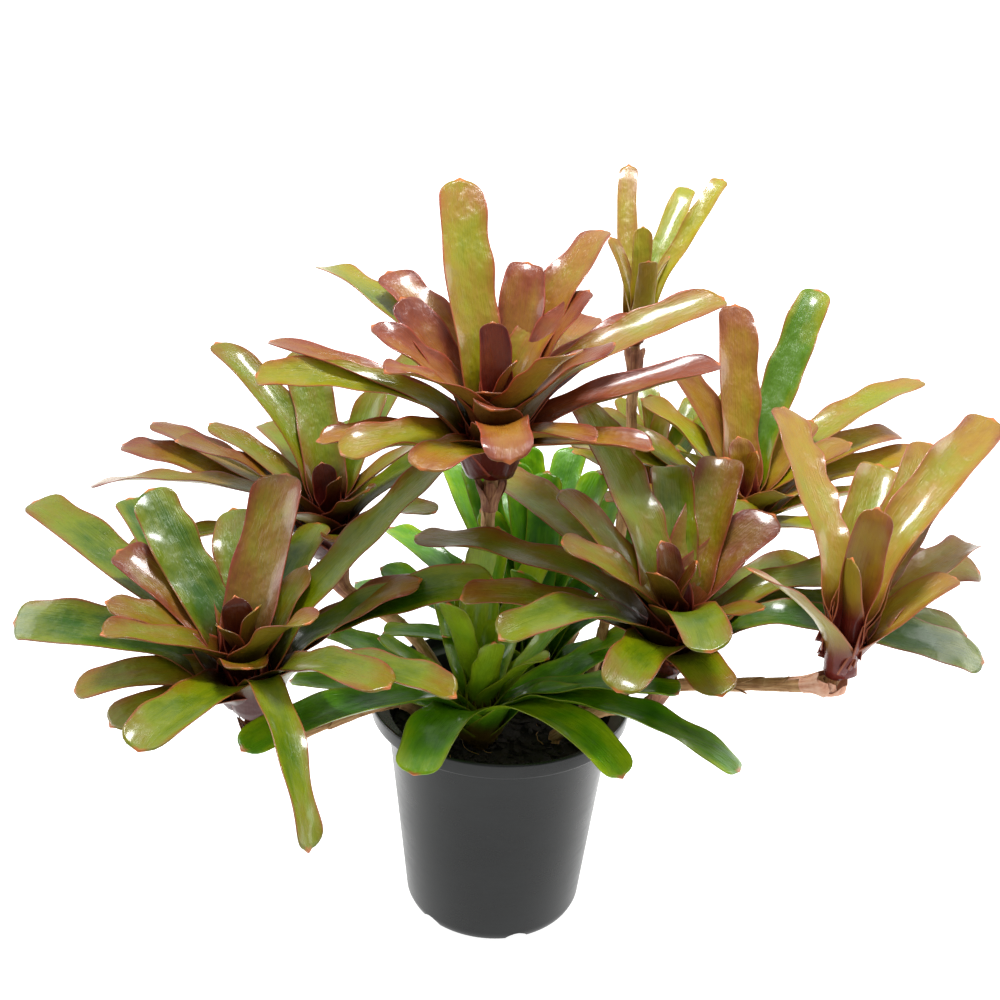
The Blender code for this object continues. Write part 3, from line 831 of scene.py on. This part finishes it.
# %% Leaf finishes of the clump
# Each row is one finish: the places and colours of its ramp, the colour of its base and how
# many millimetres it reaches, the colours of its margin and underside, and its roughness.
EVEN_PLACES, GREEN_PLACES = (0.0, 0.35, 0.7, 1.05, RAMP_END), (0.0, 0.3, 0.7, 1.1, RAMP_END)
LEAF_PAINTS = {
    "bronze_leaf": (
        EVEN_PLACES, [(0.19, 0.35, 0.0), (0.44, 0.49, 0.0), (0.50, 0.38, 0.03),
                      (0.47, 0.22, 0.09), (0.32, 0.07, 0.06)],
        (0.27, 0.045, 0.03), 46.0, (0.56, 0.24, 0.15), (0.45, 0.42, 0.10), 0.32,
    ),
    "russet_leaf": (
        EVEN_PLACES, [(0.34, 0.45, 0.0), (0.56, 0.54, 0.02), (0.61, 0.42, 0.11),
                      (0.54, 0.26, 0.14), (0.38, 0.10, 0.08)],
        (0.33, 0.07, 0.05), 40.0, (0.66, 0.28, 0.18), (0.55, 0.46, 0.16), 0.31,
    ),
    "olive_leaf": (
        EVEN_PLACES, [(0.31, 0.47, 0.0), (0.55, 0.56, 0.02), (0.62, 0.48, 0.07),
                      (0.56, 0.32, 0.13), (0.42, 0.15, 0.11)],
        (0.42, 0.13, 0.10), 32.0, (0.66, 0.36, 0.22), (0.56, 0.54, 0.16), 0.34,
    ),
    "green_leaf": (
        GREEN_PLACES, [(0.17, 0.41, 0.0), (0.37, 0.61, 0.0), (0.66, 0.77, 0.02),
                       (0.52, 0.48, 0.05), (0.46, 0.30, 0.10)],
        (0.38, 0.29, 0.08), 20.0, (0.50, 0.55, 0.08), (0.31, 0.45, 0.06), 0.32,
    ),
    "young_leaf": (
        EVEN_PLACES, [(0.46, 0.57, 0.0), (0.62, 0.58, 0.06), (0.62, 0.46, 0.13),
                      (0.55, 0.34, 0.17), (0.44, 0.22, 0.15)],
        (0.48, 0.28, 0.14), 24.0, (0.66, 0.50, 0.20), (0.58, 0.54, 0.16), 0.36,
    ),
}
LEAF_FINISHES = {name: leaf_finish(name, *row) for name, row in LEAF_PAINTS.items()}
LEAF_SLOTS = {
    "top": "bronze_leaf", "left": "bronze_leaf", "back_left": "bronze_leaf", "right": "bronze_leaf",
    "back_right": "olive_leaf", "far_right": "olive_leaf", "small_back": "olive_leaf",
    "front": "green_leaf", "centre": "green_leaf", "top_shoot": "young_leaf",
}

for (name, whorl), piece in whorl_pieces.items():
    slot = LEAF_SLOTS[name]
    finish = LEAF_FINISHES["russet_leaf" if name == "top" else slot]
    finish_piece(piece, finish, slot, f"{name}_{whorl}_leaves")
print("finished whorls:", len(whorl_pieces))

# %% [markdown]
# ## Runners
# A runner is a woody stem wrapped in brown fibre and the dry remains of small leaves. A round
# bar would look machined, so a flat grid is rolled round the route: its radius swells at the
# joints, where the small leaves once sat, and wanders a little in between. The seam is closed
# by merging its doubles.

# %% Rolling a sheet round a route
def frames_along(points):
    """Distance along a route, and a tangent and two sides at each of its points."""
    points = [np.array(point) for point in points]
    steps = [np.linalg.norm(b - a) for a, b in zip(points, points[1:])]
    travelled = np.concatenate(([0.0], np.cumsum(steps)))
    tangents = np.gradient(np.array(points), axis=0)
    tangents /= np.linalg.norm(tangents, axis=1)[:, None]
    sides = []
    side = np.cross(tangents[0], (0.0, 1.0, 0.0))
    for tangent in tangents:
        side = side - tangent * np.dot(side, tangent)
        side = side / np.linalg.norm(side)
        sides.append(side)
    sides = np.array(sides)
    return travelled, np.array(points), tangents, sides, np.cross(tangents, sides)


def roll(name, route, round_steps, long_steps, radius_at, span, turn, sweep, point=0.0):
    """Roll a grid round a route, over a span of its length; point narrows its far end."""
    deselect()
    bpy.ops.mesh.primitive_grid_add(x_subdivisions=round_steps, y_subdivisions=long_steps, size=2.0)
    obj = bpy.context.object
    obj.name = name
    flat = np.array([vert.co[:] for vert in obj.data.vertices])
    share = 0.5 * (flat[:, 1] + 1.0)
    angle = turn + flat[:, 0] * sweep * 0.5 * (1.0 - point * share**2)
    travelled, points, tangents, sides, others = frames_along(route)
    place = (span[0] + (span[1] - span[0]) * share) * travelled[-1]
    centre, side, other = (
        np.stack([np.interp(place, travelled, part[:, k]) for k in range(3)], axis=1)
        for part in (points, sides, others)
    )
    radius = radius_at(place, angle, share)
    outward = side * np.cos(angle)[:, None] + other * np.sin(angle)[:, None]
    obj.data.vertices.foreach_set("co", (centre + outward * radius[:, None]).ravel())
    around, seed = angle * RUNNER_RADIUS / MM, np.full(len(place), turn)
    add_attribute(obj.data, "blade", np.stack((around, place / MM, seed), axis=1))
    return obj


# %% Runners and their dry leaf sheaths
JOINT_SPACING = 13.0 * MM
PAPER_THICKNESS = 0.35 * MM
SEAM_GAP = 0.00002
ROUTE_STEPS = 40
BARK_EDGE = 50.0


def runner_size(name):
    """Route, length and radius of a runner."""
    route = runner_route(name, ROUTE_STEPS)
    length = sum((b - a).length for a, b in zip(route, route[1:]))
    return route, length, RUNNER_RADIUS * (0.6 + 0.4 * ROSETTES[name]["scale"])


def papery(sheets, name):
    """Join rolled sheets and give them the thickness of paper."""
    piece = join(sheets, name)
    paper = piece.modifiers.new("paper", "SOLIDIFY")
    paper.thickness = PAPER_THICKNESS
    paper.offset = 0.0
    apply_all(piece)
    return piece


def add_runner(name, number):
    """A bark-covered runner with the dry sheaths of its small leaves."""
    luck = random.Random(500 + number)
    route, length, radius = runner_size(name)
    phase = luck.uniform(0.0, 6.0)

    def bark(place, angle, share):
        joint = np.abs(((place / JOINT_SPACING) % 1.0) - 0.5) * 2.0
        ridge = 0.05 * np.sin(3.0 * angle + place * 190.0 + phase)
        ridge = ridge + 0.04 * np.sin(7.0 * angle - place * 310.0)
        return radius * (0.92 + 0.07 * joint**6 + ridge)

    tube = roll(f"{name}_bark", route, 20, 90, bark, (0.0, 1.0), phase, 2.0 * math.pi)
    only(tube)
    bpy.ops.object.mode_set(mode="EDIT")
    bpy.ops.mesh.select_all(action="SELECT")
    bpy.ops.mesh.remove_doubles(threshold=SEAM_GAP)
    seal()

    sheaths = []
    for joint in range(1, int(length / JOINT_SPACING)):
        begin = joint * JOINT_SPACING / length
        end = min(1.0, begin + luck.uniform(9.0, 15.0) * MM / length)
        lifted = luck.uniform(0.0, 0.35)

        def scale_leaf(place, angle, share, lifted=lifted):
            return radius * (1.0 + 0.10 * share + lifted * ease((share - 0.7) / 0.3) ** 2)

        sheaths.append(roll(f"{name}_sheath_{joint}", route, 8, 8, scale_leaf, (begin, end),
                            luck.uniform(0.0, 6.3), luck.uniform(2.2, 3.8), 0.9))
    piece = join([tube, papery(sheaths, f"{name}_sheaths")], f"{name}_runner_bark")
    smooth(piece, BARK_EDGE)
    return piece


def add_husks(name, number):
    """Papery dead leaves round the foot of a rosette."""
    luck = random.Random(700 + number)
    route, length, radius = runner_size(name)
    husks = []
    for index in range(5):
        flare = luck.uniform(0.4, 1.5)
        reach = luck.uniform(14.0, 26.0) * MM / length

        def flap(place, angle, share, flare=flare):
            return radius * (1.15 + flare * ease(share) ** 1.4 + 0.12 * np.sin(5.0 * angle) * share)

        husks.append(roll(f"{name}_husk_{index}", route, 10, 10, flap, (1.0 - reach, 1.0),
                          luck.uniform(0.0, 6.3), luck.uniform(1.8, 3.4), 0.85))
    piece = papery(husks, f"{name}_dry_husks")
    smooth(piece, BARK_EDGE)
    return piece


runner_pieces = {name: add_runner(name, number) for number, name in enumerate(RUNNERS)}
husk_pieces = {name: add_husks(name, number) for number, name in enumerate(RUNNERS)}
print("runners:", len(runner_pieces), "triangles:", sum(map(triangles, runner_pieces.values())))

# %% [markdown]
# The bark is tan on top of brown, in long fibres with darker cracks between them. The noise
# is stretched along the runner by reading the distance round it and the distance along it.

# %% Bark finish
def bark_finish(name, crack, brown, tan, pale):
    """Tan and brown fibres with dark cracks."""
    material, shader, start = new_material(name)
    out, up, seed = stored(start, "blade")
    fibre = start.noise(vector(out * 1.1, up * 0.07, seed), 1.0, 5.0, 0.65)
    patch = start.noise(vector(out * 0.10, up * 0.12, seed + 4.0), 1.0, 3.0, 0.6)
    stops = [(0.25, crack), (0.37, brown), (0.49, tan), (0.68, pale)]
    skin = ramp_of(fibre * 0.65 + patch * 0.4, stops)
    surface(shader, skin, 0.55 + 0.3 * fibre, (0.8, 0.0009, fibre))
    return material


runner_bark = bark_finish("runner_bark", (0.22, 0.13, 0.07), (0.50, 0.33, 0.18),
                          (0.70, 0.52, 0.33), (0.84, 0.69, 0.50))
dry_husk = bark_finish("dry_husk", (0.17, 0.09, 0.06), (0.36, 0.20, 0.14),
                       (0.55, 0.34, 0.24), (0.78, 0.57, 0.42))
pink_bract = bark_finish("pink_bract", (0.50, 0.28, 0.22), (0.72, 0.46, 0.37),
                         (0.85, 0.62, 0.50), (0.93, 0.78, 0.68))
for name, piece in runner_pieces.items():
    finish_piece(piece, runner_bark, "runner_bark", f"{name}_runner")
for name, piece in husk_pieces.items():
    finish_piece(piece, pink_bract if name == "far_right" else dry_husk, "runner_bark")
print("bark on", len(runner_pieces), "runners and", len(husk_pieces), "groups of husks")

# %% [markdown]
# ## The pot
# The pot is blow-thin black plastic: a tapered wall, a stepped band with a rolled lip at the
# rim, and arched notches at the foot that let the water out. A turned shape is drawn as one
# circle that is extruded and resized ring by ring, which is how it would be done by hand. The
# notches are cut by a Boolean once the rings are bevelled.

# %% Turning the pot
POT_RIM_R, POT_TOP_R, POT_FOOT_R = 0.070, 0.061, 0.0485
POT_WALL, RIM_HEIGHT = 0.002, 0.009
POT_SIDES = 128


def turned(name, outline, sides):
    """Extrude and resize a circle along an outline of (radius, height)."""
    deselect()
    radius, height = outline[0]
    bpy.ops.mesh.primitive_circle_add(vertices=sides, radius=radius, location=(0.0, 0.0, height))
    obj = bpy.context.object
    obj.name = name
    bpy.ops.object.transform_apply(location=True)
    bpy.ops.object.mode_set(mode="EDIT")
    bpy.ops.mesh.select_all(action="SELECT")
    for next_radius, next_height in outline[1:]:
        up = (0.0, 0.0, next_height - height)
        bpy.ops.mesh.extrude_region_move(TRANSFORM_OT_translate={"value": up})
        grow = next_radius / radius
        bpy.ops.transform.resize(value=(grow, grow, 1.0), center_override=(0.0, 0.0, 0.0))
        radius, height = next_radius, next_height
    seal()
    return obj


def wall_radius(height):
    """Outer radius of the tapered wall."""
    return POT_FOOT_R + (POT_TOP_R - POT_FOOT_R) * height / (POT_HEIGHT - RIM_HEIGHT)


shelf = POT_HEIGHT - RIM_HEIGHT
outline = [
    (0.004, POT_WALL), (wall_radius(0.002) - 0.006, POT_WALL),
    (wall_radius(0.006) - POT_WALL, 0.006),
    (POT_TOP_R - POT_WALL, shelf), (POT_TOP_R - 0.001, shelf + POT_WALL),
    (POT_RIM_R - 0.0028, shelf + POT_WALL + 0.0006), (POT_RIM_R - 0.0022, shelf + 0.0045),
    (POT_RIM_R - 0.0020, POT_HEIGHT - 0.0012), (POT_RIM_R - 0.0015, POT_HEIGHT - 0.0003),
    (POT_RIM_R - 0.0010, POT_HEIGHT), (POT_RIM_R - 0.0004, POT_HEIGHT - 0.0004),
    (POT_RIM_R, POT_HEIGHT - 0.0012), (POT_RIM_R - 0.0003, POT_HEIGHT - 0.0045),
    (POT_RIM_R - 0.0006, shelf + 0.0008), (POT_RIM_R - 0.0012, shelf),
    (POT_TOP_R + 0.0012, shelf + 0.0004), (POT_TOP_R, shelf - 0.0012),
    (wall_radius(0.060), 0.060), (wall_radius(0.009), 0.009), (wall_radius(0.006), 0.006),
    (wall_radius(0.004), 0.004), (wall_radius(0.0) - 0.0008, 0.0012),
    (POT_FOOT_R - 0.0025, 0.0), (0.004, 0.0),
]
pot = turned("pot_shell", outline, POT_SIDES)
soften = pot.modifiers.new("soften", "BEVEL")
soften.limit_method = "ANGLE"
soften.angle_limit = math.radians(28.0)
soften.width = 0.0004
soften.segments = 2
apply_all(pot)
print("pot shell:", triangles(pot), "triangles")

# %% Drain notches at the foot
NOTCH_COUNT, NOTCH_TURN = 6, 287.0
NOTCH_RADIUS, NOTCH_DEPTH, NOTCH_LOW = 0.0072, 0.010, -0.0026
for index in range(NOTCH_COUNT):
    turn = math.radians(NOTCH_TURN + 360.0 * index / NOTCH_COUNT)
    deselect()
    bpy.ops.mesh.primitive_cylinder_add(
        vertices=40, radius=NOTCH_RADIUS, depth=NOTCH_DEPTH,
        location=(POT_FOOT_R * math.cos(turn), POT_FOOT_R * math.sin(turn), NOTCH_LOW),
        rotation=(math.pi / 2.0, 0.0, turn + math.pi / 2.0),
    )
    cutter = bpy.context.object
    cut = pot.modifiers.new("notch", "BOOLEAN")
    cut.operation = "DIFFERENCE"
    cut.object = cutter
    only(pot)
    bpy.ops.object.modifier_apply(modifier=cut.name)
    bpy.data.objects.remove(cutter, do_unlink=True)
smooth(pot, 32.0)
print("notched pot:", triangles(pot), "triangles")

# %% [markdown]
# Moulded black polypropylene is never quite black. It has a satin skin with a faint orange
# peel, a dusty bloom in soft patches, and fine scuffs. Roughness carries most of it,
# because that is what spreads the soft light from the sides over the wall.

# %% Pot plastic
def pot_finish():
    """Satin black plastic with scuffs and a light bloom."""
    material, shader, start = new_material("pot_plastic")
    place = start.make("ShaderNodeTexCoord", None, None, 3)
    peel = start.noise(place, 900.0, 2.0, 0.5)
    bloom = start.noise(place, 38.0, 4.0, 0.6)
    squeezed = {"Vector": place, "Scale": (1.0, 1.0, 7.0)}
    scuff = start.noise(place.make("ShaderNodeMapping", None, squeezed), 60.0, 5.0, 0.7)
    shade = (bloom * 0.6 + scuff * 0.4).step(0.35, 0.75)
    skin = shade.mix(paint(0.04, 0.055, 0.06), paint(0.09, 0.105, 0.11))
    shader.inputs["IOR"].default_value = 1.45
    surface(shader, skin, 0.27 + 0.10 * shade + 0.06 * (scuff - 0.5), (0.12, 0.0002, peel))
    return material


finish_piece(pot, pot_finish(), "pot_plastic", "pot")
print("pot finished")

# %% [markdown]
# ## Potting mix
# The mix is dark and damp, with crumbs of bark and a few thin roots lying on it. The ball of
# soil is a turned shape whose top is shaped into small mounds. The crumbs are two chips,
# modelled once with few faces and copied with a new size and turn each time.

# %% The ball of soil
SOIL_SIDES, SOIL_RINGS = 96, 22
inner = POT_WALL + 0.0006
full = wall_radius(SOIL_TOP) - inner
soil_outline = [(full * k / SOIL_RINGS, SOIL_TOP) for k in range(1, SOIL_RINGS + 1)]
soil_outline += [(wall_radius(z) - inner, z) for z in (0.060, 0.006)] + [(0.004, 0.003)]
soil = turned("soil_ball", soil_outline, SOIL_SIDES)
soil_luck = random.Random(77)
# Right, back, width and height of each mound, drawn between these limits.
MOUND_LIMITS = ((-0.055, 0.055), (-0.055, 0.055), (0.004, 0.010), (-0.0016, 0.0022))
mounds = [[soil_luck.uniform(*limits) for limits in MOUND_LIMITS] for _ in range(90)]
for vert in soil.data.vertices:
    if vert.co.z > SOIL_TOP - 0.001:
        rise = 0.0
        for x, y, w, h in mounds:
            rise += h * math.exp(-((vert.co.x - x) ** 2 + (vert.co.y - y) ** 2) / (w * w))
        vert.co.z += max(-0.003, min(0.0035, rise)) - 0.0006
smooth(soil, 60.0)
print("soil:", triangles(soil), "triangles")

# %% Chips and roots
CHIP_COUNT, CHIP_REACH = 420, 0.0555
ROOT_COUNT, ROOT_POINTS, ROOT_STEP = 14, 14, 0.0022
ROOT_REACH, ROOT_HEIGHT = 0.056, SOIL_TOP + 0.0012


def add_chip(sharp):
    """One crumb of bark with few faces."""
    deselect()
    bpy.ops.mesh.primitive_ico_sphere_add(subdivisions=1, radius=1.0)
    chip = bpy.context.object
    for vert in chip.data.vertices:
        vert.co *= soil_luck.uniform(0.7, 1.15)
        vert.co.z *= 0.45 if sharp else 0.75
    return chip


def scatter(chip, low, high):
    """Copies of a chip over the soil."""
    copies = []
    for _ in range(CHIP_COUNT):
        copy = copy_of(chip)
        away = math.sqrt(soil_luck.random()) * CHIP_REACH
        turn = soil_luck.uniform(0.0, 2.0 * math.pi)
        size = soil_luck.uniform(low, high)
        stretch = soil_luck.uniform(1.0, 2.2)
        shape = Matrix.Diagonal((size * stretch, size, size * 0.8, 1.0))
        tumble = Matrix.Rotation(soil_luck.uniform(0.0, 6.3), 4, "Z")
        tumble = tumble @ Matrix.Rotation(soil_luck.uniform(-0.5, 0.5), 4, "X")
        spot = Vector((away * math.cos(turn), away * math.sin(turn), SOIL_TOP + size * 0.25))
        copy.data.transform(Matrix.Translation(spot) @ tumble @ shape)
        copies.append(copy)
    bpy.data.objects.remove(chip, do_unlink=True)
    return copies


bark_bits = scatter(add_chip(True), 0.0012, 0.0034)
bark_bits += scatter(add_chip(False), 0.0006, 0.0018)
chips = join(bark_bits, "bark_chips")
root_lines = []
for index in range(ROOT_COUNT):
    turn = soil_luck.uniform(math.radians(180.0), math.radians(400.0))
    away = soil_luck.uniform(0.030, 0.052)
    point = Vector((away * math.cos(turn), away * math.sin(turn), ROOT_HEIGHT))
    heading = soil_luck.uniform(0.0, 6.3)
    line = []
    for step in range(ROOT_POINTS):
        line.append(point.copy())
        heading += soil_luck.uniform(-0.5, 0.5)
        rise = soil_luck.uniform(-0.0004, 0.0005)
        point += Vector((math.cos(heading) * ROOT_STEP, math.sin(heading) * ROOT_STEP, rise))
        if math.hypot(point.x, point.y) > ROOT_REACH:
            point *= ROOT_REACH / math.hypot(point.x, point.y)
            point.z = ROOT_HEIGHT
    thin = soil_luck.uniform(0.00018, 0.00036)

    def taper(place, angle, share, thin=thin):
        return thin * (1.15 - share)

    root_lines.append(roll(f"root_{index}", line, 6, 26, taper, (0.0, 1.0), 0.0, 2.0 * math.pi))
roots = join(root_lines, "surface_roots")
smooth(roots)
print("chips:", triangles(chips), "roots:", triangles(roots), "triangles")

# %% Soil finishes
def soil_finish(name, dark, mid, light):
    """Damp crumbly mix, darker in its hollows."""
    material, shader, start = new_material(name)
    place = start.make("ShaderNodeTexCoord", None, None, 3)
    crumb = start.noise(place, 420.0, 5.0, 0.7)
    patch = start.noise(place, 70.0, 3.0, 0.6)
    skin = ramp_of(crumb * 0.7 + patch * 0.3, [(0.3, dark), (0.6, mid), (0.8, light)])
    surface(shader, skin, 0.7 + 0.25 * crumb, (0.9, 0.0012, crumb))
    return material


potting_mix = soil_finish("potting_mix", (0.04, 0.035, 0.03), (0.11, 0.085, 0.06),
                          (0.24, 0.18, 0.12))
chip_bark = soil_finish("chip_bark", (0.05, 0.04, 0.03), (0.13, 0.09, 0.06), (0.30, 0.20, 0.13))
finish_piece(soil, potting_mix, "potting_mix", "soil")
finish_piece(chips, chip_bark, "potting_mix")
finish_piece(roots, runner_bark, "runner_bark")
print("soil, chips and roots finished")

# %% [markdown]
# ## Floor and light
# The clump stands on a white sheet in soft studio light. The sheet glows by itself, more
# behind the pot than in front, so the shadow round the pot stays faint and the black pot has
# grey edges round a dark middle. A small soft box above and behind the clump lays the
# highlights along the leaves, and two dim ones fill in the sides. The room is dim in front
# of the plant and brighter behind and above it, but the camera sees it as plain white.

# %% Floor
FLOOR_RADIUS, FLOOR_HEIGHT, FLOOR_GLOW = 40.0, -0.0004, 2.2
deselect()
bpy.ops.mesh.primitive_circle_add(
    vertices=96, radius=FLOOR_RADIUS, fill_type="NGON", location=(0.0, 0.0, FLOOR_HEIGHT),
)
floor = bpy.context.object
floor.name = "studio_floor"
material, shader, start = new_material("floor_paper")
shader.inputs["Base Color"].default_value = (0.30, 0.30, 0.30, 1.0)
shader.inputs["Roughness"].default_value = 0.9
shader.inputs["Specular IOR Level"].default_value = 0.0
_, depth, _ = split(start.make("ShaderNodeTexCoord", None, None, 3))
glow = depth.step(-0.08, 0.12).mix((0.41, 0.41, 0.41), (0.75, 0.75, 0.75))
start.feed(shader.inputs["Emission Color"], glow)
shader.inputs["Emission Strength"].default_value = FLOOR_GLOW
floor.data.materials.append(material)
print("floor ready")

# %% Lights
LIGHT_TARGET = Vector((0.0, 0.0, 0.2))
world = bpy.data.worlds.new("studio")
bpy.context.scene.world = world
world.use_nodes = True
backdrop = world.node_tree.nodes["Background"]
backdrop.inputs["Color"].default_value = (1.0, 1.0, 1.0, 1.0)
seen = Wire(world.node_tree).make("ShaderNodeLightPath")
_, depth, height = split(seen.make("ShaderNodeTexCoord", None, None, 0))
room = 0.36 + 0.34 * depth.step(-0.75, 0.35) + 0.15 * height.step(0.2, 0.9)
seen.feed(backdrop.inputs["Strength"], room + (1.2 - room) * seen)
bpy.context.scene.view_settings.view_transform = "Standard"


def soft_box(name, place, width, height, power):
    """A rectangular light aimed at the clump."""
    data = bpy.data.lights.new(name, "AREA")
    data.shape = "RECTANGLE"
    data.size = width
    data.size_y = height
    data.energy = power
    light = bpy.data.objects.new(name, data)
    bpy.context.scene.collection.objects.link(light)
    light.location = place
    light.rotation_euler = (LIGHT_TARGET - Vector(place)).to_track_quat("-Z", "Y").to_euler()


soft_box("overhead", (0.1, 0.3, 1.7), 0.32, 0.32, 24.0)
soft_box("left_side", (-1.4, 0.2, 0.8), 0.5, 1.0, 9.0)
soft_box("right_side", (1.4, 0.3, 0.8), 0.5, 1.0, 9.0)
